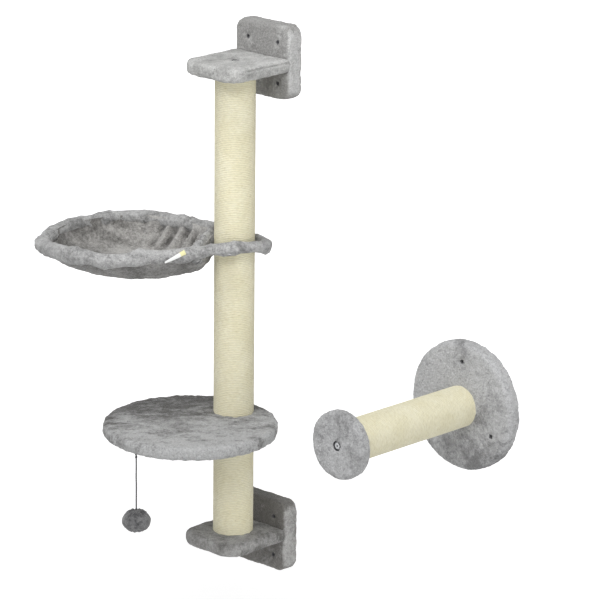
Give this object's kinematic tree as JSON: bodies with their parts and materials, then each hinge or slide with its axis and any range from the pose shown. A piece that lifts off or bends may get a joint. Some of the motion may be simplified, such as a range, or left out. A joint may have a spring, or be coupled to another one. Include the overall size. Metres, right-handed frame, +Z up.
{
  "type": "wall mounted cat tree",
  "caption": "Wall mounted cat tree: sisal column between wall brackets with swivelling hammock, round platform and hanging toy, plus a separate sisal step.",
  "frame": {"origin": "centre of the top wall plate's back face, on the wall's surface", "axes": "+Y into the wall, +Z up, +X right along the wall as seen from the room"},
  "size_m": [1.1356, 0.4481, 1.2521],
  "materials": {
    "grey_plush": "short pile plush, brushed",
    "dark_plush": "short pile plush",
    "sisal": "wound sisal rope, dry and hairy",
    "board": "raw chipboard",
    "cardboard": "spiral wound cardboard",
    "lining": "thin felted lining",
    "foam": "soft foam",
    "filling": "loose polyester filling",
    "label": "woven ribbon, blank",
    "cord": "thin braided elastic cord",
    "nylon": "natural nylon",
    "steel": "zinc plated"
  },
  "bodies": {
    "root": {"top_wall_board": "board", "top_wall_cover": "grey_plush", "top_wall_backing": "lining", "top_shelf_board": "board", "top_shelf_cover": "grey_plush", "bottom_wall_board": "board", "bottom_wall_cover": "grey_plush", "bottom_wall_backing": "lining", "bottom_shelf_board": "board", "bottom_shelf_cover": "grey_plush", "bracket_screws": "steel", "column_bolts": "steel", "column_bolt_washers": "steel", "upper_post_tube": "cardboard", "upper_post_sisal": "sisal", "middle_post_tube": "cardboard", "middle_post_sisal": "sisal", "lower_post_tube": "cardboard", "lower_post_sisal": "sisal", "column_plugs": "board", "column_inserts": "steel", "hammock_stud": "steel", "platform_stud": "steel", "swivel_washers": "nylon", "platform_board": "board", "platform_cover": "grey_plush", "toy_staple": "steel", "step_wall_board": "board", "step_wall_cover": "grey_plush", "step_wall_backing": "lining", "step_wall_bolt": "steel", "step_post_tube": "cardboard", "step_post_sisal": "sisal", "step_plugs": "board", "step_inserts": "steel", "step_cap_board": "board", "step_cap_cover": "grey_plush", "step_cap_bolt": "steel", "step_cap_washer": "steel"},
    "hammock": {"hammock_frame": "steel", "hammock_strip": "steel", "hammock_rim_padding": "foam", "hammock_rim_cover": "grey_plush", "hammock_neck_band": "grey_plush", "hammock_bag": "grey_plush", "hammock_label": "label"},
    "toy_link": {"toy_loop": "cord"},
    "toy": {"toy_knot": "cord", "toy_cord": "cord", "toy_ball_cover": "dark_plush", "toy_ball_filling": "filling"}
  },
  "joints": [
    {"name": "hammock_swivel", "type": "hinge", "parent": "root", "child": "hammock", "pos_m": [0, -0.1215, -0.3973], "axis": [0, 0, 1], "range_deg": [-15, 131]},
    {"name": "toy_swing_out", "type": "hinge", "parent": "root", "child": "toy_link", "pos_m": [-0.00996, -0.41121, -0.8226], "axis": [1, 0, 0], "range_deg": [-60, 60]},
    {"name": "toy_swing_side", "type": "hinge", "parent": "toy_link", "child": "toy", "pos_m": [-0.00996, -0.41121, -0.8226], "axis": [0, 1, 0], "range_deg": [-60, 60]}
  ]
}
